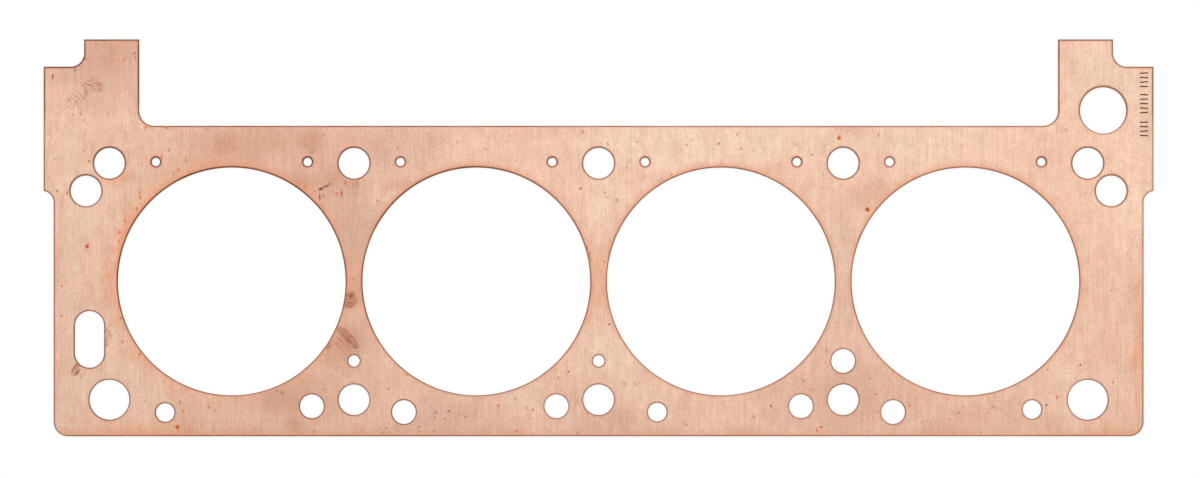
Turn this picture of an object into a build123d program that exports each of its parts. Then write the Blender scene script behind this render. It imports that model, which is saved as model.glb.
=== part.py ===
from build123d import *
import os

# Cylinder head gasket for a bank of four cylinders, cut square-edged from one flat copper sheet.
# The sheet lies on its block side. The origin is on that side, on the line through the bore
# centres, half way along the row of bores. +X runs along the bores, +Y points to the edge with
# the two ears, and +Z to the cylinder head. All sizes are in millimetres.

# Sheet
sheet_thickness = 1.09

# Cylinder bores, in a row along X
bore_count = 4
bore_pitch = 117.6
bore_diameter = 109.5

# Head bolts, in an upper and a lower row with a column at each side of every bore
bolt_row_height = 56.85
bolt_hole_diameter = 14.75
dowel_hole_diameter = 19.2

# Outer bolt of each end, just outboard of the end column and under the upper row
outer_bolt_outboard = 11.3
outer_bolt_drop = 13.3

# Blank: margins beyond the bolt rows and the end columns
top_margin = 18.0
bottom_margin = 17.55
lower_end_margin = 26.8
upper_end_margin = 31.6
side_step_drop = 13.3
side_step_radius = 5.5
bottom_corner_radius = 7.0

# Ears that stand up from both ends of the top edge, each with a shoulder outboard of it
ear_inboard = 14.3
ear_outboard = 12.15
ear_height = 41.55
shoulder_height = 28.45
ear_root_radius = 7.2
shoulder_radius = 6.5

# Steam holes, a pair over every bore, just above the upper row
steam_hole_diameter = 4.0
steam_hole_rise = 0.6
steam_hole_offset = 36.5

# Coolant passages in the lower margin: how far each lies beside a bolt column and below the row
passage_diameter = 11.45
left_passage_offset = 20.3
left_passage_drop = 3.15
right_passage_offset = 24.0
right_passage_drop = 5.95
small_passage_diameter = 8.95
small_passage_offset = 28.2
corner_passage_inboard = 26.8
left_corner_passage_drop = 6.15
right_corner_passage_drop = 4.7

# Passages in the webs between the bores, straight above a bolt of the lower row
web_passage_rise = 18.65
web_passage_diameter = 5.5

# Round passage in the right ear
ear_hole_diameter = 22.25
ear_hole_outboard = 7.4
ear_hole_rise = 7.4

# Upright slot outboard of the first column, above its lower bolt
slot_width = 14.1
slot_length = 27.3
slot_outboard = 9.6
slot_rise = 29.0

# Places worked out from the sizes above
end_column_x = bore_pitch * bore_count / 2
columns = [column * bore_pitch - end_column_x for column in range(bore_count + 1)]
first_column, *inner_columns, last_column = columns
bores = [column + bore_pitch / 2 for column in columns[:-1]]
top_edge = bolt_row_height + top_margin
bottom_edge = -bolt_row_height - bottom_margin
ear_top = top_edge + ear_height
lower_side = end_column_x + lower_end_margin
upper_side = end_column_x + upper_end_margin


def rounded_cut(x_from, x_to, y_from, y_to, radius):
    """Rectangle between two opposite corners, with all its corners rounded."""
    centre = Pos((x_from + x_to) / 2, (y_from + y_to) / 2)
    return centre * RectangleRounded(abs(x_to - x_from), abs(y_to - y_from), radius)


def circles(diameter, places):
    """One circle of this diameter at each (x, y) place."""
    return [Pos(x, y) * Circle(diameter / 2) for x, y in places]


def blank():
    """Outline of the sheet: a rectangle with its bottom corners rounded, cut away between the
    ears, above each shoulder and along each lower side. Every cut runs past the rectangle by
    more than its own corners, so that only its corner inside the sheet shows."""
    middle = Pos(0, (ear_top + bottom_edge) / 2)
    sheet = middle * Rectangle(2 * upper_side, ear_top - bottom_edge)
    past = 4 * max(ear_root_radius, shoulder_radius, side_step_radius)
    ear_inner = end_column_x - ear_inboard
    ear_outer = end_column_x + ear_outboard
    shoulder = top_edge + shoulder_height
    step = bolt_row_height - side_step_drop
    sheet -= rounded_cut(-ear_inner, ear_inner, top_edge, ear_top + past, ear_root_radius)
    for side in (-1, 1):
        outside = side * (upper_side + past)
        sheet -= rounded_cut(side * ear_outer, outside, shoulder, ear_top + past, shoulder_radius)
        sheet -= rounded_cut(side * lower_side, outside, step, bottom_edge - past, side_step_radius)
    bottom_corners = sheet.vertices().group_by(Axis.Y)[0]
    return fillet(bottom_corners, bottom_corner_radius)


def bore_holes():
    """The cylinder bores, on the origin's line."""
    return circles(bore_diameter, [(x, 0) for x in bores])


def bolt_holes():
    """Head bolts. The lower hole of each end column is wider, because it locates on a dowel."""
    upper_row = [(x, bolt_row_height) for x in columns]
    lower_row = [(x, -bolt_row_height) for x in inner_columns]
    dowels = [(x, -bolt_row_height) for x in (first_column, last_column)]
    outer_x = end_column_x + outer_bolt_outboard
    outer_y = bolt_row_height - outer_bolt_drop
    outer = [(side * outer_x, outer_y) for side in (-1, 1)]
    plain = circles(bolt_hole_diameter, upper_row + lower_row + outer)
    return plain + circles(dowel_hole_diameter, dowels)


def steam_holes():
    """Small holes at both sides of the top of every bore."""
    height = bolt_row_height + steam_hole_rise
    places = [(x + side * steam_hole_offset, height) for x in bores for side in (-1, 1)]
    return circles(steam_hole_diameter, places)


def coolant_passages():
    """Passages along the lower edge: wide ones between the bolts, and three smaller ones, of
    which two are under the end bores and one is right of the middle column."""
    left_y = -bolt_row_height - left_passage_drop
    right_y = -bolt_row_height - right_passage_drop
    left = [(x - left_passage_offset, left_y) for x in inner_columns]
    right = [(x + right_passage_offset, right_y) for x in (inner_columns[0], inner_columns[-1])]
    middle_column = inner_columns[len(inner_columns) // 2]
    small = [
        (middle_column + small_passage_offset, right_y),
        (first_column + corner_passage_inboard, -bolt_row_height - left_corner_passage_drop),
        (last_column - corner_passage_inboard, -bolt_row_height - right_corner_passage_drop),
    ]
    return circles(passage_diameter, left + right) + circles(small_passage_diameter, small)


def web_passages():
    """Passages between neighbouring bores: the last column has a wide one, the others small."""
    height = web_passage_rise - bolt_row_height
    *small_columns, wide_column = inner_columns
    small = [(x, height) for x in small_columns]
    wide = [(wide_column, height)]
    return circles(web_passage_diameter, small) + circles(passage_diameter, wide)


def ear_hole():
    """The large round passage at the foot of the right ear."""
    place = (end_column_x + ear_hole_outboard, top_edge + ear_hole_rise)
    return circles(ear_hole_diameter, [place])


def side_slot():
    """An upright slot with round ends, left of the first bore."""
    place = Pos(first_column - slot_outboard, slot_rise - bolt_row_height)
    return [place * Rot(0, 0, 90) * SlotOverall(slot_length, slot_width)]


profile = (
    blank()
    - bore_holes()
    - bolt_holes()
    - steam_holes()
    - coolant_passages()
    - web_passages()
    - ear_hole()
    - side_slot()
)
gasket_sheet = extrude(profile, amount=sheet_thickness)

os.makedirs("parts", exist_ok=True)
export_step(gasket_sheet, "parts/gasket_sheet.step")
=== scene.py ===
# %% [markdown]
# # A copper cylinder head gasket
#
# A head gasket lies between the block of an engine and its cylinder head, and seals the
# cylinders, the coolant and the bolts from each other. This one is solid copper: a single
# flat sheet, stamped out square-edged, and used without any coating. Almost everything that
# makes it look real is therefore in two things, a clean outline and an honest metal.
#
# The solid part was made in CAD. This script loads it as a fixed frame and builds a finer
# sheet over it, with the small things a stamped sheet has: rounded rims, an engraved
# corner, and copper that has gone dull in patches.

import math

import bmesh
import bpy
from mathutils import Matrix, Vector


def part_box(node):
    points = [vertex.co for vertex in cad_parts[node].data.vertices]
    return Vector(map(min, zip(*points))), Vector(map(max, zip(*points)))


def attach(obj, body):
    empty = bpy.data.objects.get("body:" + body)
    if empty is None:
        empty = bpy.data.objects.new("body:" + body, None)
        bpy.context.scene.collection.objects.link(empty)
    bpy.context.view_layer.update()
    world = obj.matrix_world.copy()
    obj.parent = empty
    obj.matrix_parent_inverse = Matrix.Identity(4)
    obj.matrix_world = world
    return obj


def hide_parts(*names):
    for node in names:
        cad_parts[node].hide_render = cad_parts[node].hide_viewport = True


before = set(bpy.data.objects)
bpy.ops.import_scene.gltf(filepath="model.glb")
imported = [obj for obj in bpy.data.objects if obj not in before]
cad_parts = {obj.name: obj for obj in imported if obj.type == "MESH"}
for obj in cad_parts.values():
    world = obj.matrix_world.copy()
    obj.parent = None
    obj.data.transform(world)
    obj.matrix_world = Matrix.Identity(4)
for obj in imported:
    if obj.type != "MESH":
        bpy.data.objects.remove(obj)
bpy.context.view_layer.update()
mm = 0.001

# %% [markdown]
# ## The camera
#
# The gasket lies flat and is seen from straight above, like a drawing. A camera that looks
# straight down could be orthographic, but a real lens close above a half-metre sheet shows a
# little of each hole's wall towards the ends, and that is worth having. So it is a long lens
# in perspective, high above the sheet, and a little above its middle because the ears make
# the sheet taller on one side.

# %% Camera straight above
camera_data = bpy.data.cameras.new("overhead_camera")
camera_data.type = "PERSP"
camera_data.sensor_width = 36.0
camera_data.lens = 117.0
camera_data.clip_start = 0.01
camera_data.clip_end = 20.0
camera_data.dof.use_dof = False
camera = bpy.data.objects.new("overhead_camera", camera_data)
camera.location = (0.67 * mm, 20.43 * mm, 1876.0 * mm)
camera.rotation_euler = (0.0, 0.0, 0.0)
bpy.context.scene.collection.objects.link(camera)
bpy.context.scene.camera = camera
print("camera is", round(camera.location.z, 3), "m above the sheet")

# %% [markdown]
# ## Reading the stamping from the frame
#
# The new sheet has to have every hole exactly where the CAD part has it. The places could be
# typed in again, but then a change of size would have to be made twice. It is safer to
# measure them: on the head side of the solid, every rim is a closed loop of edges with a
# flat face on one side and an upright wall on the other. The widest loop is the outline,
# and each of the others is a hole, whose box gives its middle and its width.


# %% Find the rims of the solid
def rim_loops(solid):
    """Closed loops of points round the outline and every hole, on the head side."""
    copy = bmesh.new()
    copy.from_mesh(solid.data)
    bmesh.ops.remove_doubles(copy, verts=copy.verts, dist=1e-6)
    top = max(corner.co.z for corner in copy.verts)
    rims = set()
    for edge in copy.edges:
        level = all(abs(corner.co.z - top) < 1e-6 for corner in edge.verts)
        if level and any(abs(face.normal.z) < 0.5 for face in edge.link_faces):
            rims.add(edge)
    loops = []
    while rims:
        first, here = rims.pop().verts
        loop = [first.co.copy()]
        while here is not first:
            loop.append(here.co.copy())
            onward = next(edge for edge in here.link_edges if edge in rims)
            rims.remove(onward)
            here = onward.other_vert(here)
        loops.append(loop)
    copy.free()
    return loops


def span(loop):
    """Middle and size of a loop, as (x, y, width, height)."""
    across = [point.x for point in loop]
    along = [point.y for point in loop]
    middle = ((min(across) + max(across)) / 2, (min(along) + max(along)) / 2)
    return (*middle, max(across) - min(across), max(along) - min(along))


def by_width_and_place(loop):
    """Sorts loops the same way each time, the narrowest first."""
    x, y, width, height = span(loop)
    return width, x, y


def is_round(hole):
    """True for a hole about as wide as it is high."""
    return abs(hole[2] - hole[3]) < 2 * mm


least_bore_radius, greatest_steam_radius = 40 * mm, 2.5 * mm
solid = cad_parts["gasket_sheet"]
loops = sorted(rim_loops(solid), key=by_width_and_place)
outline = loops.pop()
holes = [span(loop) for loop in loops]
round_holes = [(hole[0], hole[1], hole[2] / 2) for hole in holes if is_round(hole)]
slots = [hole for hole in holes if not is_round(hole)]
bores = sorted(hole for hole in round_holes if hole[2] > least_bore_radius)
print(len(round_holes), "round holes,", len(bores), "of them bores, and", len(slots), "slot")

# %% [markdown]
# The outline is a rectangle with steps in it, the same on both halves. Its long straight
# edges give the levels at which the steps lie. The step low on each side is the one that
# can't be read this way, because its corner is rounded right up to the side of the sheet,
# but it lies level with the middle of the outermost bolt holes. An edge counts as straight
# where it is longer than any of the short runs that make up a rounded corner.

# %% Levels of the outline
longest_corner_run = 4 * mm
upright_edges, level_edges = set(), set()
for here, there in zip(outline, outline[1:] + outline[:1]):
    if (there - here).length > longest_corner_run:
        if abs(here.x - there.x) < 1e-7:
            upright_edges.add(round(abs(here.x), 7))
        elif abs(here.y - there.y) < 1e-7:
            level_edges.add(round(here.y, 7))
ear_inner, ear_outer, lower_side, upper_side = sorted(upright_edges)
bottom_edge, top_edge, shoulder, ear_top = sorted(level_edges)
side_step = max(round_holes, key=lambda hole: (hole[0], -hole[2]))[1]
block_side, head_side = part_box("gasket_sheet")[0].z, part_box("gasket_sheet")[1].z
print("sides at", [round(v / mm, 2) for v in (ear_inner, ear_outer, lower_side, upper_side)])
print("levels", [round(v / mm, 2) for v in (bottom_edge, side_step, top_edge, shoulder, ear_top)])

# %% [markdown]
# ## The blank
#
# On the real part a punch cuts the outline out of rolled strip. Here the blank starts as a
# cube of the sheet's full size, and the punches are more cubes. Only the corners that lie
# inside the metal are rounded, because a punch needs a radius there, and the two bottom
# corners are rounded for handling. Rounding an upright edge is a bevel in edit mode with
# many segments. Edges are picked by their place: both ends have the same x and y.


# %% Helpers for working as by hand
corner_segments = 32


def work_on(piece):
    """Makes this piece the only one selected, and the active one."""
    bpy.ops.object.select_all(action="DESELECT")
    piece.select_set(True)
    bpy.context.view_layer.objects.active = piece


def pick_edges(piece, wanted):
    """Selects the edges for which wanted(one end, other end) is true, and opens edit mode."""
    work_on(piece)
    bpy.ops.object.mode_set(mode="EDIT")
    bpy.ops.mesh.select_mode(type="EDGE")
    bpy.ops.mesh.select_all(action="DESELECT")
    bpy.ops.object.mode_set(mode="OBJECT")
    corners = piece.data.vertices
    for edge in piece.data.edges:
        edge.select = wanted(*(corners[index].co for index in edge.vertices))
    bpy.ops.object.mode_set(mode="EDIT")


def upright(here, there):
    """True for an edge that stands straight up."""
    return math.hypot(here.x - there.x, here.y - there.y) < 1e-7


def rounded_plate(name, sides, ends, levels, radius):
    """A block between these limits in x, y and z, with its upright edges rounded."""
    bpy.ops.object.select_all(action="DESELECT")
    limits = (sides, ends, levels)
    middle = [(low + high) / 2 for low, high in limits]
    size = [high - low for low, high in limits]
    bpy.ops.mesh.primitive_cube_add(size=1, location=middle, scale=size)
    plate = bpy.context.active_object
    plate.name = name
    bpy.ops.object.transform_apply(location=True, rotation=True, scale=True)
    if radius:
        pick_edges(plate, upright)
        bpy.ops.mesh.bevel(
            offset=radius, segments=corner_segments, affect="EDGES", clamp_overlap=False
        )
        bpy.ops.object.mode_set(mode="OBJECT")
    return plate


# %% The blank and its outside punches
ear_root_radius, shoulder_radius = 7.2 * mm, 6.5 * mm
step_radius, corner_radius = 5.5 * mm, 7.0 * mm
past = 30 * mm
above, below = head_side + 2 * mm, block_side - 2 * mm
through = (below, above)

sheet = rounded_plate(
    "copper_gasket_sheet",
    (-upper_side, upper_side),
    (bottom_edge, ear_top),
    (block_side, head_side),
    0,
)
over_the_top = ear_top + past
between_ears = (-ear_inner, ear_inner)
punches = [
    rounded_plate(
        "punch_between_ears", between_ears, (top_edge, over_the_top), through, ear_root_radius
    )
]
for side in (-1, 1):
    outwards = sorted((side * ear_outer, side * (upper_side + past)))
    upwards = (shoulder, over_the_top)
    punches.append(rounded_plate("punch_shoulder", outwards, upwards, through, shoulder_radius))
    outwards = sorted((side * lower_side, side * (upper_side + past)))
    downwards = (bottom_edge - past, side_step)
    punches.append(rounded_plate("punch_side", outwards, downwards, through, step_radius))
print("blank and", len(punches), "outside punches")

# %% [markdown]
# ## The holes
#
# Each hole is a round punch, a cylinder with enough sides that it never looks cut from
# straight pieces: the four bores are large, so they get far more sides than a bolt hole.
# The slot is a plate whose corners are rounded by a hair less than half its width, because
# a bevel of the whole half would bring two corners onto one point.

# %% Punches for the holes
bore_sides, bolt_hole_sides, small_hole_sides = 240, 96, 64
for x, y, radius in round_holes:
    if radius > least_bore_radius:
        sides = bore_sides
    else:
        sides = bolt_hole_sides if radius > 6 * mm else small_hole_sides
    bpy.ops.object.select_all(action="DESELECT")
    bpy.ops.mesh.primitive_cylinder_add(
        vertices=sides, radius=radius, depth=above - below, location=(x, y, (above + below) / 2)
    )
    bpy.ops.object.transform_apply(location=True, rotation=True, scale=True)
    punches.append(bpy.context.active_object)
a_hair_less = 0.9999
for x, y, width, height in slots:
    sides = (x - width / 2, x + width / 2)
    ends = (y - height / 2, y + height / 2)
    punches.append(rounded_plate("punch_slot", sides, ends, through, width / 2 * a_hair_less))
print(len(punches), "punches in all")

# %% [markdown]
# ## Stamping
#
# None of the punches touches another, so they can be joined into one tool and cut out in a
# single Boolean. That is quicker than forty cuts one after another, and leaves cleaner
# faces. The modifier is applied, because the next steps work on the cut edges themselves.


# %% Cut the sheet
def cut_with(piece, tools, name):
    """Joins the tools, takes their shape out of the piece and throws them away."""
    work_on(tools[0])
    for tool in tools:
        tool.select_set(True)
    if len(tools) > 1:
        bpy.ops.object.join()
    tool = bpy.context.active_object
    work_on(piece)
    cut = piece.modifiers.new(name, "BOOLEAN")
    cut.operation = "DIFFERENCE"
    cut.solver = "EXACT"
    cut.object = tool
    bpy.ops.object.modifier_apply(modifier=name)
    bpy.data.objects.remove(tool)


cut_with(sheet, punches, "stamping")
pick_edges(
    sheet,
    lambda here, there: upright(here, there)
    and abs(here.y - bottom_edge) < 1e-6
    and abs(abs(here.x) - lower_side) < 1e-6,
)
bpy.ops.mesh.bevel(offset=corner_radius, segments=corner_segments, affect="EDGES")
bpy.ops.object.mode_set(mode="OBJECT")
print("stamped sheet has", len(sheet.data.vertices), "points")

# %% [markdown]
# ## Rims
#
# No stamped edge is razor sharp. The punch drags the metal down a little as it enters, and
# that roll-over is what catches the light as a thin line round every hole. A bevel of about
# a tenth of a millimetre on every rim, in two segments, gives it. The rims are the edges
# that lie level in the top or the bottom face and have a wall on one side.

# %% Roll over the rims
rollover = 0.12 * mm


def is_rim(edge):
    """True for an edge between a level face and an upright one."""
    faces = edge.link_faces
    return len(faces) == 2 and abs(abs(faces[0].normal.z) - abs(faces[1].normal.z)) > 0.5


def rims_of(piece):
    """The numbers of all the edges of a piece that are rims."""
    shape = bmesh.new()
    shape.from_mesh(piece.data)
    rims = {edge.index for edge in shape.edges if is_rim(edge)}
    shape.free()
    return rims


rims = rims_of(sheet)
order = iter(range(len(sheet.data.edges)))
pick_edges(sheet, lambda here, there: next(order) in rims)
bpy.ops.mesh.bevel(offset=rollover, segments=2, affect="EDGES", clamp_overlap=True)
bpy.ops.object.mode_set(mode="OBJECT")
print("rolled over", len(rims), "rim edges")

# %% [markdown]
# ## The engraved corner
#
# Such a gasket is marked by hand with an engraving pen at the end of one ear, so that the
# fitter knows which side faces the head. Here the mark is a plain tally of short strokes in
# three groups. Each stroke is a narrow plate sunk less than a tenth of a millimetre into
# the sheet. One stroke is modelled, and the others are copies, each with its own mesh and a
# slightly different lean, as a hand makes them.

# %% Engraved tally strokes
stroke_depth = 0.08 * mm
stroke_middle = 262.2 * mm
half_length, half_width = 2.0 * mm, 0.30 * mm
stroke_spacing = 2.15
stroke_groups = [(100.2, 4), (89.8, 5), (76.6, 4)]  # level of the first stroke, and how many
leans = [0.06, -0.03, 0.09, 0.02, -0.06, 0.05, 0.0, -0.04, 0.08, 0.03, -0.02, 0.07, -0.05]

first_stroke = rounded_plate(
    "engraving_stroke",
    (-half_length, half_length),
    (-half_width, half_width),
    (head_side - stroke_depth, head_side + 1 * mm),
    half_width / 2,
)
strokes = []
for start, count in stroke_groups:
    for number in range(count):
        work_on(first_stroke)
        bpy.ops.object.duplicate()
        stroke = bpy.context.active_object
        stroke.rotation_euler.z = leans[len(strokes)]
        stroke.location = (stroke_middle, (start - stroke_spacing * number) * mm, 0)
        bpy.ops.object.transform_apply(location=True, rotation=True, scale=True)
        strokes.append(stroke)
bpy.data.objects.remove(first_stroke)
print(len(strokes), "strokes, each", round(stroke_depth / mm, 2), "mm deep")
cut_with(sheet, strokes, "engraving")

# %% [markdown]
# The wall of a hole is made of many narrow faces that should look round, but the large flat
# faces must stay flat right up to their rims, or they shade like crumpled foil. Shading
# smooth by angle does both: neighbours round a hole turn by a few degrees and are
# smoothed, and a rim turns by more than twenty and stays sharp.

# %% Shade and check the sheet
work_on(sheet)
bpy.ops.object.shade_smooth_by_angle(angle=math.radians(20))
shape = bmesh.new()
shape.from_mesh(sheet.data)
open_edges = sum(not edge.is_manifold for edge in shape.edges)
print("volume", round(shape.calc_volume() * 1e9), "mm3,", open_edges, "open edges")
print(len(shape.calc_loop_triangles()), "triangles")
shape.free()

# %% [markdown]
# ## Writing shader maths
#
# A procedural metal is mostly arithmetic: distances, masks and mixes. Placed by hand that
# would be hundreds of nodes, so a small class wraps one output socket and lets the sums be
# written as in Python. Every sum adds its node to the material. Anything that isn't a sum
# comes from one method, node, which takes the type of the node, its settings and the
# values or links of its inputs.


# %% A socket that can be calculated with
class Shade:
    """One output of a shader node, with Python's operators."""

    tree = None

    def __init__(self, socket):
        self.socket = socket

    @classmethod
    def node(cls, kind, settings, inputs, output=0):
        """Adds a node, sets it up, links or fills its inputs, and gives one of its outputs."""
        made = cls.tree.nodes.new("ShaderNode" + kind)
        for name, value in settings.items():
            setattr(made, name, value)
        for name, value in inputs.items():
            if isinstance(value, Shade):
                cls.tree.links.new(value.socket, made.inputs[name])
            else:
                made.inputs[name].default_value = value
        return cls(made.outputs[output]) if made.outputs else None

    @staticmethod
    def maths(operation, first, second=0.0):
        """A sum of one or two values or numbers."""
        return Shade.node("Math", {"operation": operation}, {0: first, 1: second})

    def __add__(self, other):
        return self.maths("ADD", self, other)

    def __radd__(self, other):
        return self.maths("ADD", other, self)

    def __sub__(self, other):
        return self.maths("SUBTRACT", self, other)

    def __rsub__(self, other):
        return self.maths("SUBTRACT", other, self)

    def __mul__(self, other):
        return self.maths("MULTIPLY", self, other)

    def __rmul__(self, other):
        return self.maths("MULTIPLY", other, self)

    def __abs__(self):
        return self.maths("ABSOLUTE", self)


# %% Masks, mixes and distances
def lesser(first, second):
    """The smaller of two values; where both are distances, the one to the nearer thing."""
    return Shade.maths("MINIMUM", first, second)


def greater(first, second):
    """The larger of two values; where both are masks, the two laid together."""
    return Shade.maths("MAXIMUM", first, second)


def fade(value, start, end, low=0.0, high=1.0):
    """Goes smoothly from low, where value is start, to high, where value is end."""
    ends = {"Value": value, "From Min": start, "From Max": end, "To Min": low, "To Max": high}
    if start > end:
        ends.update({"From Min": end, "From Max": start, "To Min": high, "To Max": low})
    return Shade.node("MapRange", {"interpolation_type": "SMOOTHSTEP"}, ends)


def blend(amount, under, over):
    """The colour under, and where amount is 1 the colour over."""
    kind = {"data_type": "RGBA", "clamp_factor": True}
    return Shade.node("Mix", kind, {0: amount, 6: under, 7: over}, 2)


def tint(colour, by):
    """A colour multiplied by another."""
    kind = {"data_type": "RGBA", "blend_type": "MULTIPLY"}
    return Shade.node("Mix", kind, {0: 1.0, 6: colour, 7: by}, 2)


def away_from(place, x, y):
    """Distance in millimetres from a point of the sheet."""
    ends = {0: place, 1: (x, y, 0.0)}
    return Shade.node("VectorMath", {"operation": "DISTANCE"}, ends, "Value")


def length_of(x, y):
    """The longest side of a right-angled triangle with these two short sides."""
    corner_to_corner = Shade.node("CombineXYZ", {}, {0: x, 1: y})
    return Shade.node("VectorMath", {"operation": "LENGTH"}, {0: corner_to_corner}, "Value")


def painted(red, green, blue):
    """A colour as a paint chart gives it, from 0 to 255, as the linear light Blender wants."""
    return (*(((part / 255 + 0.055) / 1.055) ** 2.4 for part in (red, green, blue)), 1.0)


copper = bpy.data.materials.new("bare_rolled_copper")
copper.use_nodes = True
copper.node_tree.nodes.clear()
Shade.tree = copper.node_tree
print("new copper is", [round(part, 3) for part in painted(236, 194, 170)[:3]])

# %% [markdown]
# ## Where on the sheet
#
# Every pattern below is placed in millimetres on the sheet, from the piece's own Object
# coordinates, so it stays on the metal whatever the view. Height is split off: the flat
# place has none, so that tints and stains go straight down through the sheet, and walls take
# the colour of the rim above them. Height itself is kept for the marks that one side has.

# %% Millimetres on the sheet
metres = Shade.node("TexCoord", {}, {}, "Object")
to_millimetres = {0: metres, "Scale": 1000.0}
solid_place = Shade.node("VectorMath", {"operation": "SCALE"}, to_millimetres, "Vector")
across, along, height = (
    Shade.node("SeparateXYZ", {}, {0: solid_place}, axis) for axis in ("X", "Y", "Z")
)
flat_place = Shade.node("CombineXYZ", {}, {0: across, 1: along})
sideways = abs(across)


def grain(size, detail=2.0, stretch=(1.0, 1.0, 1.0), rough=0.5, seed=0.0):
    """Noise from 0 to 1 whose cells are about size millimetres, longer where stretch is more."""
    scale = tuple(1000.0 / (size * part) for part in stretch)
    laid = {"Vector": metres, "Location": (seed, seed, seed), "Scale": scale}
    spread = Shade.node("Mapping", {}, laid)
    values = {"Vector": spread, "Scale": 1.0, "Detail": detail, "Roughness": rough}
    return Shade.node("TexNoise", {}, values)


print("patterns are placed in millimetres, with", len(copper.node_tree.nodes), "nodes")

# %% [markdown]
# ## How far from a cut edge
#
# Bare copper darkens first where it was cut, so the finish needs to know how far each point
# is from the nearest edge. This could be painted, but it can also be worked out. The
# distance to a round hole is the distance to its middle less its radius. A rounded inside
# corner of the outline is the same sum on what is left of the distance to its two sides.
# The smallest of all these distances is the one that counts. The dark rim is partly painted
# shade: on the ear side of each hole, and most at the two left bores, the rim rolls away from
# the light, so the middle is moved that way by a fraction of a millimetre. That makes the dark
# rim wider there and thinner opposite. The bores and the steam holes have a distance of their
# own too, because hot gas and steam gave them a wider orange rim than the other holes have,
# and round the bores that rim leans to the ears even more.


# %% Distance to the nearest hole
def rim_shade_shift_and_width(x, y, radius):
    """How far a hole's dark rim is moved to the ears as painted shade, and how much wider it is
    drawn, in millimetres.
    """
    if radius > least_bore_radius:
        return (0.24, 0.08) if x < 0 else (0.14, 0.0)
    if radius < greatest_steam_radius:
        return 0.14, 0.22
    # Painted shade: rims of the lower row are drawn thinner and those of the upper row wider, as
    # the light falls from beyond the ears.
    if y < -1 * mm:
        return 0.03, -0.06
    in_upper_row = 40 * mm < y < 70 * mm
    return 0.14, 0.15 if in_upper_row else 0.0


edge_gap = hot_gap = None
for x, y, radius in round_holes:
    shade_shift, extra_width = rim_shade_shift_and_width(x, y, radius)
    # Painted shade: each middle is moved towards the ears, so the dark rim is wider on the side
    # that faces away from the light.
    gap = away_from(flat_place, x / mm, y / mm + shade_shift) - (radius / mm + extra_width)
    edge_gap = gap if edge_gap is None else lesser(edge_gap, gap)
    is_bore, is_steam_hole = radius > least_bore_radius, radius < greatest_steam_radius
    if is_bore or is_steam_hole:
        lean, narrower = (1.0, 0.0) if is_bore else (-0.4, 1.1)
        gap = away_from(flat_place, x / mm, y / mm + lean) - (radius / mm - narrower)
        hot_gap = gap if hot_gap is None else lesser(hot_gap, gap)
for x, y, width, height_of_slot in slots:
    half_straight = (height_of_slot - width) / 2 / mm
    beyond = greater(abs(along - y / mm) - half_straight, 0.0)
    edge_gap = lesser(edge_gap, length_of(across - x / mm, beyond) - width / 2 / mm)
print("distance to", len(holes), "holes")


# %% Distance to the outline
def inside_corner(into_x, into_y, radius):
    """Distance to a rounded punch corner, from how far a point is inside the punch each way."""
    return length_of(greater(radius - into_x, 0.0), greater(radius - into_y, 0.0)) - radius


punch_corners = [
    (ear_inner / mm - sideways, along - top_edge / mm, ear_root_radius / mm),
    (sideways - ear_outer / mm, along - shoulder / mm, shoulder_radius / mm),
    (sideways - lower_side / mm, side_step / mm - along, step_radius / mm),
]
for into_x, into_y, radius in punch_corners:
    edge_gap = lesser(edge_gap, inside_corner(into_x, into_y, radius))

# A bottom corner counts only where a point is past its middle both ways.
corner = corner_radius / mm
past_y = greater((bottom_edge / mm + corner) - along, 0.0)
past_x = lesser(greater(sideways - (lower_side / mm - corner), 0.0), past_y * 1000.0)
edge_gap = lesser(edge_gap, corner - length_of(past_x, past_y))
edge_gap = lesser(edge_gap, lesser(upper_side / mm - sideways, ear_top / mm - along))
print("distance to the outline uses", len(copper.node_tree.nodes), "nodes so far")

# %% [markdown]
# ## The tone of the sheet
#
# A copper sheet that has been handled and stored isn't one colour. It is palest where it
# was last cleaned, browner where heat or fingers have been, and a cold purple grey where
# the oxide film is a little thicker. The pale areas are partly that clean copper and partly
# painted light. These areas are large and soft, so each is a stretched round fade with a
# place, a size and a strength, and those of one tint are gathered into one mask. The fades
# are bent a little by a slow noise, so that none looks like an ellipse.
# Each line below is a fade: its middle, its half width and half height, all in millimetres,
# and its strength from 0 to 1.


# %% Soft areas of tint
def bent(size, amount, seed):
    """The flat place, pushed about by up to about amount millimetres, in cells of this size."""
    spread = Shade.node("Mapping", {}, {"Vector": metres, "Location": (seed, seed, 0.0)})
    settings = {"Vector": spread, "Scale": 1000.0 / size, "Detail": 2.0, "Roughness": 0.5}
    push = Shade.node("TexNoise", {}, settings, "Color")
    centred = {0: push, 1: (2 * amount, 2 * amount, 0.0), 2: (-amount, -amount, 0.0)}
    shift = Shade.node("VectorMath", {"operation": "MULTIPLY_ADD"}, centred, "Vector")
    return Shade.node("VectorMath", {"operation": "ADD"}, {0: flat_place, 1: shift}, "Vector")


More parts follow.
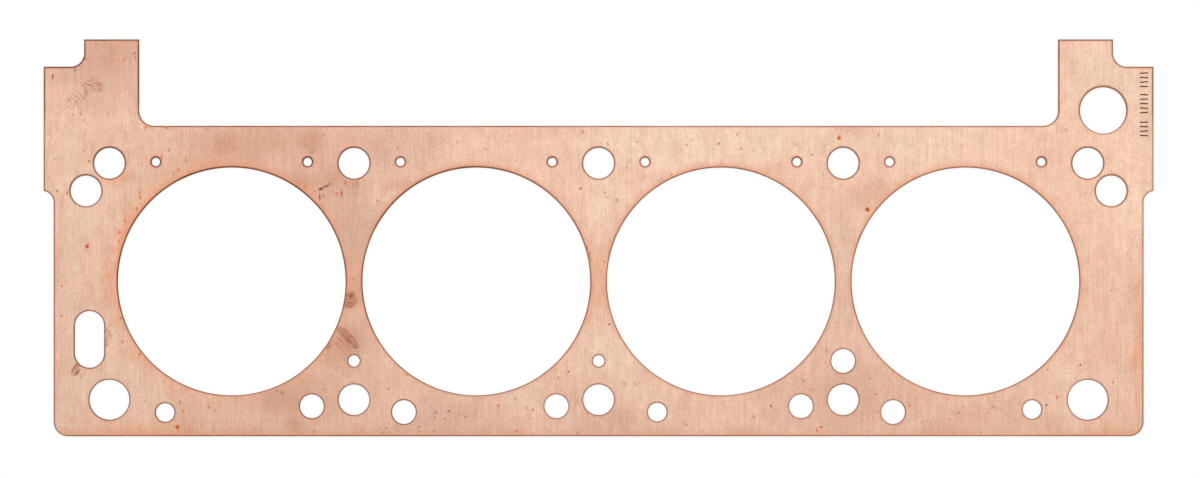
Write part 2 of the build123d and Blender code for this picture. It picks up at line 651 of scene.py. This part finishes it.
def area(place, x, y, wide, tall, strength, turn=0.0, hard=0.0):
    """A soft oval, strength at its middle and nothing at its edge, turned by some degrees."""
    if turn:
        across_it = (math.cos(math.radians(turn)), math.sin(math.radians(turn)), 0.0)
        along_it = (-across_it[1], across_it[0], 0.0)
        parts = []
        for line, half in ((across_it, wide), (along_it, tall)):
            dot = {0: place, 1: tuple(part / half for part in line)}
            dot = Shade.node("VectorMath", {"operation": "DOT_PRODUCT"}, dot, "Value")
            parts.append(dot - (x * line[0] + y * line[1]) / half)
        out = length_of(*parts)
    else:
        centred = {0: place, 1: (1 / wide, 1 / tall, 0.0), 2: (-x / wide, -y / tall, 0.0)}
        oval = Shade.node("VectorMath", {"operation": "MULTIPLY_ADD"}, centred, "Vector")
        out = Shade.node("VectorMath", {"operation": "LENGTH"}, {0: oval}, "Value")
    return fade(out, 1.0, hard, 0.0, strength)


def areas(place, listed):
    """Several soft ovals in one mask."""
    mask = None
    for entry in listed:
        one = area(place, *entry)
        mask = one if mask is None else greater(mask, one)
    return mask


print("soft ovals can be laid on the sheet")

# %% Brown areas
slow_place = bent(34.0, 9.0, 1.0)
brown_areas = areas(
    slow_place,
    [
        (-236, 112, 40, 36, 0.60),
        (-161, 64, 66, 32, 0.56),
        (-180, 67, 20, 15, 0.76),
        (-141, 68, 16, 17, 0.78),
        (-132, 36, 9, 12, 0.45),
        (-127, 48, 26, 20, 0.62),
        (-143, 46, 18, 16, 0.70),
        (-146, -58, 40, 20, 0.60),
        (-150, -78, 100, 16, 0.45),
        (-119, -30, 18, 20, 0.72),
        (-119, -6, 9, 16, 0.55),
        (122, -56, 60, 26, 0.36),
        (226, 106, 8, 20, 0.42),
        (-196, 48, 34, 22, 0.25),
        (190, -70, 50, 14, 0.25),
        (-98, -74, 18, 10, 0.35),
        (-148, -70, 16, 12, 0.66),
        (264, 78, 4, 12, 0.20),
        (-196, -68, 18, 16, 0.40),
        (-97, 47, 12, 8, 0.35),
        (133, 42, 14, 12, 0.35),
        (-12, 64, 10, 12, 0.35),
        (12, -62, 10, 10, 0.25),
        (-55, -74, 18, 10, 0.28),
        (73, -75, 18, 10, 0.35),
        (164, -73, 18, 12, 0.40),
        (121, 74, 18, 10, 0.60),
        (-16, 74, 22, 9, 0.36),
    ],
)
print("brown areas laid,", len(copper.node_tree.nodes), "nodes so far")

# %% Cold purple areas, and pale areas of clean copper and painted light
cold_areas = areas(
    slow_place,
    [
        (-117, 22, 22, 34, 0.62),
        (-118, -50, 30, 20, 0.18),
        (-74, -66, 24, 20, 0.50),
        (-100, 66, 36, 22, 0.45),
        (117, -42, 26, 22, 0.25),
        (119, 8, 14, 44, 0.28),
        (4, -70, 40, 14, 0.40),
        (-246, 96, 24, 22, 0.30),
    ],
)
# Pale areas: partly clean copper, partly painted light.
pale_and_lit_areas = areas(
    slow_place,
    [
        (40, 68, 104, 34, 0.58),
        (160, 66, 64, 26, 0.42),
        (6, 46, 26, 16, 0.62),
        (250, 40, 28, 56, 0.42),
        (232, -46, 30, 34, 0.26),
        (-252, 40, 30, 84, 0.38),
        (-240, -44, 40, 34, 0.26),
        (0, 34, 20, 22, 0.62),
        (4, -38, 24, 22, 0.62),
        (24, -52, 22, 16, 0.40),
        (26, 48, 12, 8, 0.40),
        (-252, 62, 20, 18, 0.30),
        (-156, 58, 12, 10, 0.25),
        (-36, -58, 18, 16, 0.36),
        (-50, 64, 26, 12, 0.22),
        (196, 68, 34, 20, 0.25),
    ],
)
print("cold and pale areas laid,", len(copper.node_tree.nodes), "nodes so far")

# %% Warm areas, and cool painted shade
warm_areas = areas(
    slow_place,
    [
        (0, 0, 12, 24, 0.36),
        (-117, 2, 10, 18, 0.35),
        (261, -28, 7, 60, 0.50),
        (-262, -10, 8, 70, 0.22),
        (-236, 4, 12, 40, 0.20),
        (-120, 62, 10, 16, 0.20),
        (-233, 50, 16, 8, 0.60),
        (-188, 57, 18, 6, 0.50),
        (-132, -36, 14, 12, 0.25),
        (83, 52, 11, 4, 0.40),
        (-7, -16, 4, 9, 0.45),
        (-140, -47, 12, 5, 0.35),
        (199, 65, 8, 4, 0.22),
        (-214, -77, 60, 15, 0.62),
        (244, -76, 28, 10, 0.45),
        (243, -33, 14, 18, 0.22),
    ],
)
# Cool areas are painted shade: less red on the right ear and along the upper right, where the
# lamp falls brighter, and no tint of the metal.
cool_painted_shade = areas(
    slow_place,
    [
        (244, 98, 40, 40, 0.70),
        (262, 80, 12, 30, 0.45),
        (120, 70, 170, 30, 0.30),
        (118, 10, 16, 40, 0.30),
    ],
)
print("tint areas placed,", len(copper.node_tree.nodes), "nodes so far")

# %% [markdown]
# ## Grain and mottling
#
# The strip was rolled, and the rolls leave a very fine grain along the rolling direction,
# which runs across the row of bores here. Over it lies a weak mottling at every size from a
# millimetre to a few centimetres, where the film of oxide is thinner or thicker. Both are
# faint: the metal should look alive close up and calm from a step away. Where the film is
# thicker, copper loses more blue and green than red, so the unevenness goes into the three
# colours by different shares.

# %% Rolling grain and mottling
hair = grain(0.85, 2.0, (1.0, 20.0, 1.0), 0.6)
streak = grain(1.9, 3.0, (1.0, 18.0, 1.0), 0.6, seed=7.0)
speckle = grain(0.4, 0.0, (1.0, 2.6, 1.0), 0.5, seed=3.0)
mottle = grain(3.4, 2.0, (1.0, 1.7, 1.0), 0.6, seed=11.0)
blotch = grain(11.0, 3.0, (1.0, 1.4, 1.0), 0.55, seed=17.0)
cloud = grain(38.0, 2.0, (1.0, 1.2, 1.0), 0.5, seed=5.0)


def patchy(mask, strength=0.5):
    """A mask broken up by the grain and the mottling, as tarnish follows both."""
    return mask * (1.0 + (streak - 0.5) * 1.6 * strength + (mottle - 0.5) * 1.8 * strength)


metal = blend(cloud * 1.6 - 0.3, painted(231, 188, 163), painted(235, 195, 171))
metal = blend(patchy(brown_areas), metal, painted(200, 145, 119))
metal = blend(patchy(cold_areas), metal, painted(204, 161, 143))
metal = blend(patchy(warm_areas), metal, painted(230, 158, 120))
# The pale areas lighten the copper, partly as painted light.
metal = blend(pale_and_lit_areas, metal, painted(244, 212, 188))
# Painted shade: the cool areas take red out where the lamp falls brighter.
metal = blend(cool_painted_shade, metal, painted(222, 194, 170))

# The number behind each noise is how strongly it darkens and lightens the metal.
fine = (speckle - 0.5) * 0.38 + (hair - 0.5) * 0.40 + (streak - 0.5) * 0.18
coarse = (mottle - 0.5) * 0.18 + (blotch - 0.5) * 0.24
green_part = 1.0 + fine + coarse
red_part = 1.0 + fine * 0.42 + coarse * 0.66
blue_part = 1.0 + (fine + coarse) * 1.15
metal = tint(metal, Shade.node("CombineColor", {}, {0: red_part, 1: green_part, 2: blue_part}))
print("grain lies over", len(copper.node_tree.nodes), "nodes of tints")

# %% Short brown dashes, most of them where the film is thick
dashes = fade(grain(0.9, 1.0, (1.0, 4.0, 1.0), 0.5, seed=13.0), 0.62, 0.76)
dashes = dashes * (0.10 + brown_areas * 0.30 + cold_areas * 0.26)
metal = blend(dashes, metal, painted(176, 112, 90))
print("grain and mottling mixed,", len(copper.node_tree.nodes), "nodes so far")

# %% [markdown]
# ## Edges
#
# Several things happen at a cut edge. The rolled rim itself is dark brown, partly because dirt
# and oxide sit in it and partly as painted shade where the rim rolls away from the light. Just
# inside, the copper turns orange over a millimetre or so. Round the bores and steam holes,
# which run hot, a wider orange glow fades out over a few millimetres, and beside the first
# bore, which ran hottest, it is wider still and follows the grain in ragged patches. The long
# lower edge has a faint orange band too. Noise along the edges keeps all of them from looking
# ruled.

# %% Oxide and painted rim shade at the cut edges
wander = grain(3.2, 2.0, seed=21.0)
slow_wander = grain(26.0, 2.0, seed=23.0)
ear_stain = fade(abs(across), 205.0, 222.0) * fade(along, 74.0, 84.0, 0.0, 0.22)
gap = edge_gap + (wander - 0.5) * 0.20 - ear_stain
glow = fade(gap, 1.25, 0.45) * (0.25 + slow_wander * 0.60)
bore_glow = fade(hot_gap + (streak - 0.5) * 1.5, 3.4, -0.6) * (0.20 + slow_wander * 0.55)
# The dark rim line: oxide and dirt together with painted shade of the rolled rim, a little
# stronger on the left.
line = fade(gap, 0.72, 0.22) * fade(across, -80.0, 40.0, 0.98, 0.82)
line = line * (0.84 + (slow_wander - 0.5) * 0.5)
low_edge = fade(along + (streak - 0.5) * 6.0, -69.5, -74.8, 0.0, 0.30)

x, y, radius = bores[0]
bore_gap = away_from(flat_place, x / mm, y / mm) - radius / mm
hot_side = fade(across, -150.0, -212.0, 0.15, 1.0) * fade(along, -6.0, 26.0, 0.42, 1.0)
hot_side = hot_side * fade(along, 52.0, 38.0, 0.25, 1.0)
hot_reach = bore_gap + (slow_wander - 0.5) * 6.0 + (streak - 0.5) * 18.0
hot_reach = hot_reach + (speckle - 0.5) * 5.0 + (mottle - 0.5) * 16.0
hot = fade(hot_reach, 8.5, -0.5) * hot_side * 0.66
print("the hottest bore is", round(x / mm, 1), "mm from the middle of the row")

# %% Paint the edges, the darkest last
metal = blend(low_edge, metal, painted(226, 142, 104))
metal = blend(bore_glow, metal, painted(226, 148, 112))
metal = blend(hot, metal, painted(243, 160, 116))
metal = blend(patchy(glow), metal, painted(214, 140, 108))
# Last comes the dark rim line, partly oxide and partly painted shade.
metal = blend(line, metal, painted(88, 50, 34))
print("edges mixed,", len(copper.node_tree.nodes), "nodes so far")

# %% [markdown]
# ## Specks, smudges and scuffs
#
# Small marks tell that the sheet has been used. Specks are oxide spots of a millimetre or
# two, bright orange with a ragged edge, and a burn is a wider one with a brown heart. Dots
# and smudges are dark dirt. A scuff is a place where something rubbed: a patch of short
# strokes that all run the same way, so it is a stretched noise that shows only inside an
# oval. The marks of one kind are kept as a list of places in millimetres, and the nearest
# one counts. They are on the head side, which lay uppermost, so a mask of height keeps them
# off the block side. Only the finest specks, which come at random, lie on both.

# %% Only on the head side
mask_from, mask_to = 0.3, 0.8
head_face = fade(height, mask_from, mask_to)
print("marks set in between", mask_from, "and", mask_to, "mm above the block side")


# %% Distance to the nearest of several marks
def nearest(place, points, tall=1.0):
    """Millimetres to the nearest of the points, counted less along Y where marks are tall."""
    if tall != 1.0:
        settings = {0: place, 1: (1.0, 1.0 / tall, 0.0)}
        place = Shade.node("VectorMath", {"operation": "MULTIPLY"}, settings, "Vector")
    gap = None
    for x, y in points:
        one = away_from(place, x, y / tall)
        gap = one if gap is None else lesser(gap, one)
    return gap


# %% Orange specks
ragged_place = bent(1.5, 0.6, 2.0)
burns = [(-245.9, 16.9), (129.2, 34.6), (115.6, 69.1), (-202.4, -69.9)]
left_specks = [
    (-227.8, 106.9), (-245.0, 57.8), (-230.2, 23.8), (-228.9, -29.1), (-229.7, -17.8),
    (-199.8, -62.3), (-187.2, -60.5), (-201.8, 53.6), (-136.5, 43.2), (-118.2, 1.4),
    (-118.4, -6.7), (-106.3, 38.9), (-78.1, -62.9), (-48.2, -59.6), (-31.6, -61.6),
    (-39.4, -71.9), (-7.6, 72.1), (-91.9, -44.7), (-207.3, 73.9), (-207.9, 74.2),
    (-125.4, 42.2), (-126.1, 42.1),
]
right_specks = [
    (2.7, 9.6), (17.5, -49.3), (35.0, 51.5), (41.9, -68.9), (42.1, 65.9), (68.4, 63.8),
    (74.6, -65.1), (109.5, -33.0), (131.9, 47.0), (134.5, 70.5), (149.8, -59.7),
    (134.9, -62.6), (167.5, -56.8), (168.9, -66.4), (175.8, -60.1), (189.6, -60.1),
    (189.2, -60.6), (215.6, -42.4), (222.5, 86.3),
]
tall_specks = [
    (-220.8, 42.6), (-220.4, 40.2), (-222.0, 34.8), (-227.7, 29.0), (-220.6, -35.0),
    (-201.1, -58.0), (-198.3, 58.3), (-204.3, 52.2), (-210.1, 59.8), (-206.7, 63.2),
    (-141.2, 45.7), (105.0, -71.6), (220.4, -55.7), (-217.7, 74.4), (-255.5, 42.5),
    (-230.5, 19.5),
]
faint_specks = [
    (-259.3, 80.3), (-263.8, 71.4), (-235.7, 3.5), (-221.5, -36.7), (-216.3, -43.8),
    (-206.1, -49.7), (-195.3, -54.9), (-205.7, -56.4), (-220.7, -69.8), (-238.3, -71.2),
    (-254.8, -71.5), (-195.3, -69.6), (-217.2, 59.1), (-217.3, 55.8), (-219.7, 56.8),
    (-213.4, 61.1), (-203.4, 63.4), (-215.2, 73.9), (-168.1, 71.0), (-125.7, 71.1),
    (-136.3, 41.3), (-79.9, 69.0), (-92.7, 64.3), (-39.9, 72.2), (-51.2, 59.9),
    (-102.7, 42.0), (-104.4, -48.6), (-107.8, -55.4), (-111.9, -33.2), (-101.9, -36.1),
    (1.3, 4.8), (0.2, -67.6), (94.4, 65.9), (122.6, 71.2), (103.7, 46.5), (106.7, -36.6),
    (102.7, -52.2), (137.5, -49.7), (182.6, -61.0), (187.8, -63.0), (202.2, -59.2),
    (141.5, -44.2), (136.8, -40.1), (118.5, -28.0), (225.8, -44.0), (240.8, -66.2),
    (238.1, 102.7), (-28.6, -57.0), (-85.0, -48.4), (-202.1, -49.8), (214.9, -61.2),
    (-217.6, -57.9), (-218.1, -57.7),
]
burn = fade(nearest(ragged_place, burns), 1.75, 0.2)
speck = fade(nearest(ragged_place, left_specks), 1.2, 0.1, 0.0, 0.72)
speck = greater(speck, fade(nearest(ragged_place, right_specks), 1.1, 0.1, 0.0, 0.62))
speck = greater(speck, fade(nearest(ragged_place, tall_specks, 2.0), 0.95, 0.1, 0.0, 0.68))
speck = greater(speck, fade(nearest(ragged_place, faint_specks), 1.0, 0.1, 0.0, 0.34))
speck = greater(speck, burn) * head_face
metal = blend(fade(speck, 0.0, 0.50) * 0.72, metal, painted(232, 142, 98))
metal = blend(fade(speck, 0.36, 0.90) * 0.85, metal, painted(204, 96, 48))
metal = blend(fade(burn * head_face, 0.82, 1.0) * 0.6, metal, painted(130, 72, 46))
print("orange specks mixed,", len(copper.node_tree.nodes), "nodes so far")

# %% Dark dots and smudges
dots = [
    (-260.3, 43.4), (-258.2, -16.7), (-72.1, -62.3), (-14.2, -43.2), (-8.9, 44.7),
    (57.9, 66.2), (82.7, -59.8), (129.8, 34.3), (107.0, -70.1), (215.3, -59.4),
    (231.4, -40.2), (5.1, -20.7), (-118.6, -6.5),
]
small_dots = [
    (-258.1, -2.2), (-252.7, 79.9), (-249.0, 80.5), (-184.2, -62.0), (-202.3, -71.0),
    (-40.3, -56.5), (-96.5, 64.0), (18.5, 67.3), (-101.0, -51.6), (-82.8, -56.9),
    (-102.1, -70.5), (-103.4, -72.5), (-86.6, -69.9), (-79.1, -71.7), (-78.7, -65.3),
    (-136.7, -72.1), (-82.9, 71.5), (-67.8, 67.1), (-54.6, 63.7), (-74.0, -66.0),
    (-63.9, -65.2), (-34.7, -60.7), (12.3, -49.3), (13.8, 54.7), (2.9, 42.8), (3.9, 40.5),
    (8.9, 39.7), (66.6, 70.8), (102.5, 60.9), (98.4, -47.8), (130.5, -46.8), (133.1, -54.3),
    (155.3, -67.4), (173.2, -63.2), (183.8, -72.4), (224.4, 73.1), (246.5, -4.4),
    (247.3, -48.5), (-137.7, 62.2), (-246.7, 107.1), (-10.1, -73.1),
]
smudges = areas(
    ragged_place,
    [
        (-262.3, 98.5, 0.9, 2.1, 0.95),
        (-251.7, 102.0, 0.7, 1.9, 0.70),
        (-223.1, 109.7, 0.7, 1.6, 0.65),
        (-222.7, 107.5, 0.6, 1.3, 0.65),
        (-133.4, 44.6, 2.1, 1.5, 0.95, 20),
        (-131.2, 45.8, 2.8, 1.0, 0.85, 18),
        (-129.2, 47.0, 1.4, 0.9, 0.70, 50),
        (-134.1, 40.9, 0.9, 2.8, 0.85),
        (-132.3, 41.2, 1.5, 2.4, 0.40),
        (-123.6, 42.4, 0.8, 3.3, 0.75),
        (-121.7, 47.3, 0.8, 2.2, 0.55),
        (-152.3, -53.6, 1.0, 2.1, 0.60, 28),
        (-154.7, -52.6, 1.3, 0.8, 0.45),
        (4.4, 66.0, 0.8, 1.8, 0.65, 25),
        (9.2, 38.5, 1.1, 1.9, 0.35, 25),
        (-42.6, 70.1, 0.7, 1.7, 0.40),
        (109.2, 53.9, 0.6, 1.5, 0.45, 20),
        (258.9, 17.4, 0.35, 2.8, 0.70, 8),
    ],
)
dark_dots = fade(nearest(ragged_place, dots), 0.95, 0.1, 0.0, 0.84)
dark_dots = greater(dark_dots, smudges) * head_face
brown_dots = fade(nearest(ragged_place, small_dots), 0.85, 0.1, 0.0, 0.62) * head_face
metal = blend(brown_dots, metal, painted(162, 92, 70))
metal = blend(dark_dots, metal, painted(112, 68, 58))
print("specks and dots mixed,", len(copper.node_tree.nodes), "nodes so far")


# %% Fine specks at random
def sprinkled(cell, share, smallest, largest, seed):
    """Round specks, in this share of cells so many millimetres wide, of sizes in a range."""
    scale = (1000.0 / cell, 1000.0 / cell, 0.0)
    laid = {"Vector": metres, "Location": (seed, seed, 0.0), "Scale": scale}
    spread = Shade.node("Mapping", {}, laid)
    kind, values = {"feature": "F1", "voronoi_dimensions": "3D"}, {"Vector": spread, "Scale": 1.0}
    away = Shade.node("TexVoronoi", kind, values, "Distance")
    lot = Shade.node("TexVoronoi", kind, values, "Color")
    chance = Shade.node("SeparateColor", {}, {0: lot}, "Red")
    chosen = fade(chance, 1.0 - share - 0.01, 1.0 - share + 0.01)
    size = Shade.node("SeparateColor", {}, {0: lot}, "Green") * (largest - smallest) + smallest
    return fade(away * cell - size + (speckle - 0.5) * 0.9, 0.18, -0.18) * chosen


near_hot_bore = fade(bore_gap, 26.0, 4.0) * hot_side
fine_specks = sprinkled(6.5, 0.16, 0.15, 0.55, 31.0) * 0.60
hot_specks = sprinkled(3.2, 0.30, 0.15, 0.60, 37.0) * near_hot_bore * 0.75
fine_dots = sprinkled(9.0, 0.14, 0.12, 0.42, 43.0) * 0.55
metal = blend(greater(fine_specks, hot_specks), metal, painted(210, 104, 54))
metal = blend(fine_dots, metal, painted(128, 84, 66))
print("fine specks sprinkled,", len(copper.node_tree.nodes), "nodes so far")


# %% Scuffs
def strokes_along(turn, size, seed):
    """Strokes size millimetres wide and eight times as long, at this angle, from 0 to 1."""
    turned = {
        "Vector": metres,
        "Location": (seed * mm, seed * mm, 0.0),
        "Rotation": (0.0, 0.0, math.radians(turn)),
        "Scale": (size * 8.0 * mm, size * mm, 0.01),
    }
    laid = Shade.node("Mapping", {"vector_type": "TEXTURE"}, turned)
    values = {"Vector": laid, "Scale": 1.0, "Detail": 1.0, "Roughness": 0.5}
    return fade(Shade.node("TexNoise", {}, values), 0.46, 0.62)


stroke_fields = {turn: strokes_along(turn, 0.62, turn) for turn in (-41, -24, -14, 62)}

# Middle, half width, half height, strength, turn, turn of the strokes, and how solid it is.
scuffs = [
    (-251.6, 87.6, 7.6, 4.6, 0.56, 40, -41, 0.0),
    (-247.6, 92.2, 4.0, 4.0, 0.56, 0, -41, 0.0),
    (-242.8, 94.2, 6.8, 4.0, 0.60, -15, -24, 0.0),
    (-248.0, 84.0, 4.0, 5.0, 0.40, 0, -41, 0.0),
    (-240.6, 94.9, 2.8, 1.3, 0.85, -24, -24, 0.3),
    (-236.6, -26.6, 2.8, 5.4, 0.66, 0, 62, 0.0),
    (-237.0, -29.8, 2.0, 1.7, 0.95, 60, 62, 0.4),
    (-251.2, -42.4, 4.2, 2.4, 0.88, 66, 62, 0.45),
    (-247.8, -44.0, 3.2, 2.0, 0.60, 64, 62, 0.0),
    (-119.2, -8.8, 3.9, 5.4, 0.70, 0, -14, 0.62),
    (-120.4, -11.3, 2.8, 1.8, 0.95, -14, -14, 0.50),
    (-119.2, -7.0, 1.8, 1.8, 0.95, -14, -14, 0.70),
    (-120.6, -26.6, 9.0, 3.0, 0.68, -43, -41, 0.66),
    (-121.0, -27.2, 5.4, 1.5, 0.95, -46, -41, 0.60),
    (-117.2, -31.0, 2.4, 1.7, 0.80, -43, -41, 0.60),
    (-123.6, -30.2, 7.2, 3.0, 0.56, -33, -41, 0.10),
    (-130.0, -31.0, 2.4, 1.8, 0.60, 50, 62, 0.60),
    (-4.9, 13.2, 1.5, 5.0, 0.80, 12, 62, 0.35),
    (-116.8, 46.6, 3.2, 2.0, 0.52, 50, 62, 0.15),
]
worn = None
for x, y, wide, tall, strength, turn, stroke_turn, solid in scuffs:
    mark = area(ragged_place, x, y, wide, tall, strength, turn, 0.60)
    mark = mark * (stroke_fields[stroke_turn] * (1.0 - solid) + solid)
    worn = mark if worn is None else greater(worn, mark)
worn = worn * head_face
metal = blend(fade(worn, 0.0, 0.60) * 0.62, metal, painted(180, 112, 88))
metal = blend(fade(worn, 0.45, 0.95) * 0.62, metal, painted(128, 90, 78))

scratches = areas(
    flat_place,
    [
        (257.9, -37.0, 0.55, 15.0, 0.85, 2),
        (249.5, -22.0, 0.50, 10.0, 0.55),
        (249.7, -58.0, 0.50, 13.0, 0.60),
        (258.6, -57.0, 0.50, 8.0, 0.65),
        (249.4, -38.0, 0.45, 8.0, 0.35),
    ],
)
metal = blend(scratches * head_face, metal, painted(236, 142, 98))
print("scuffs and scratches mixed,", len(copper.node_tree.nodes), "nodes so far")

# %% [markdown]
# ## Dirt in the engraving
#
# The pen cuts through to bright copper, but the groove soon fills with dark oxide. The
# grooves are the only places near that corner that lie just under the head side, so their
# depth and a band along the edge of the ear find them. The depth is counted in millimetres
# under the head side, and it ends well above the rim of the block side.

# %% Dark grooves
head_level = head_side / mm
under = fade(height, head_level - 0.02, head_level - 0.06)
under = under * fade(height, head_level - 0.3, head_level - 0.2)
band_middle = 85.2
in_band = fade(abs(across - stroke_middle / mm), 2.9, 2.2)
in_band = in_band * fade(abs(along - band_middle), 18.5, 17.5)
groove = under * in_band
metal = blend(groove, metal, painted(88, 54, 41))
print("engraving darkened,", len(copper.node_tree.nodes), "nodes so far")

# %% [markdown]
# ## The finished copper
#
# All of this goes into one metallic surface. Bright copper is smoother and oxide is rougher,
# so the same masks drive the roughness. The rolling grain and the strokes also stand up
# slightly, which a bump turns into a satin sheen when the light comes from the side.

# %% Put the copper together
roughness = 0.40 + (mottle - 0.5) * 0.16 + (speckle - 0.5) * 0.12 + brown_areas * 0.06
roughness = roughness + line * 0.20 + dark_dots * 0.20 + worn * 0.15
relief = hair * 0.5 + streak * 0.35 + mottle * 0.5
standing = {"Strength": 0.5, "Distance": 0.06 * mm, "Height": relief}
bump = Shade.node("Bump", {"invert": False}, standing, "Normal")
inputs = {"Base Color": metal, "Metallic": 1.0, "Roughness": roughness, "Normal": bump}
surface = Shade.node("BsdfPrincipled", {"distribution": "MULTI_GGX"}, inputs, "BSDF")
Shade.node("OutputMaterial", {}, {"Surface": surface})
sheet.data.materials.clear()
sheet.data.materials.append(copper)
print("copper has", len(copper.node_tree.nodes), "nodes")

# %% [markdown]
# ## Floor and light
#
# The sheet lies on a plain white surface. To the camera and in reflections that floor is
# plain white, and a small share of it is an ordinary matt surface, which keeps the soft
# shadow round the sheet. Copper shows what is round it, so the light is large and even: a
# white surround, and one broad lamp from beyond the ears that gives the rims their lines.

# %% White floor
bpy.ops.object.select_all(action="DESELECT")
air_gap = 0.02 * mm
bpy.ops.mesh.primitive_plane_add(size=12.0, location=(0, 0, block_side - air_gap))
floor = bpy.context.active_object
floor.name = "white_floor"
white = bpy.data.materials.new("matt_white_floor")
white.use_nodes = True
white.node_tree.nodes.clear()
Shade.tree = white.node_tree
camera_ray, glossy_ray, clear_ray = (
    Shade.node("LightPath", {}, {}, "Is " + name + " Ray")
    for name in ("Camera", "Glossy", "Transmission")
)
seen = greater(greater(camera_ray, glossy_ray), clear_ray)
matt = Shade.node("BsdfDiffuse", {}, {"Color": (0.92, 0.92, 0.92, 1.0)}, "BSDF")
shine = Shade.node("Emission", {}, {"Color": (1.0, 1.0, 1.0, 1.0), "Strength": 1.0}, "Emission")
mixed = Shade.node("MixShader", {}, {0: seen * 0.86, 1: matt, 2: shine})
Shade.node("OutputMaterial", {}, {"Surface": mixed})
floor.data.materials.append(white)
print("floor lies", round((block_side - floor.location.z) / mm, 3), "mm under the sheet")

# %% Soft white surround and one broad lamp
surround = bpy.data.worlds.new("white_surround")
bpy.context.scene.world = surround
surround.use_nodes = True
surround.node_tree.nodes["Background"].inputs["Color"].default_value = (1.0, 1.0, 1.0, 1.0)
surround.node_tree.nodes["Background"].inputs["Strength"].default_value = 0.82

lamp_data = bpy.data.lights.new("broad_lamp", "AREA")
lamp_data.shape = "RECTANGLE"
lamp_data.size = 2.4
lamp_data.size_y = 1.2
lamp_data.energy = 30.0
lamp = bpy.data.objects.new("broad_lamp", lamp_data)
lamp.location = (0.35, 1.5, 2.2)
lamp.rotation_euler = (Vector((0, 0, 0)) - lamp.location).to_track_quat("-Z", "Y").to_euler()
bpy.context.scene.collection.objects.link(lamp)
bpy.context.scene.view_settings.view_transform = "Standard"
print("lamp at", [round(v, 2) for v in lamp.location])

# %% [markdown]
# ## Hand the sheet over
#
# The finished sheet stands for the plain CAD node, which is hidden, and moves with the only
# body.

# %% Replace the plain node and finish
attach(sheet, "root")
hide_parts("gasket_sheet")
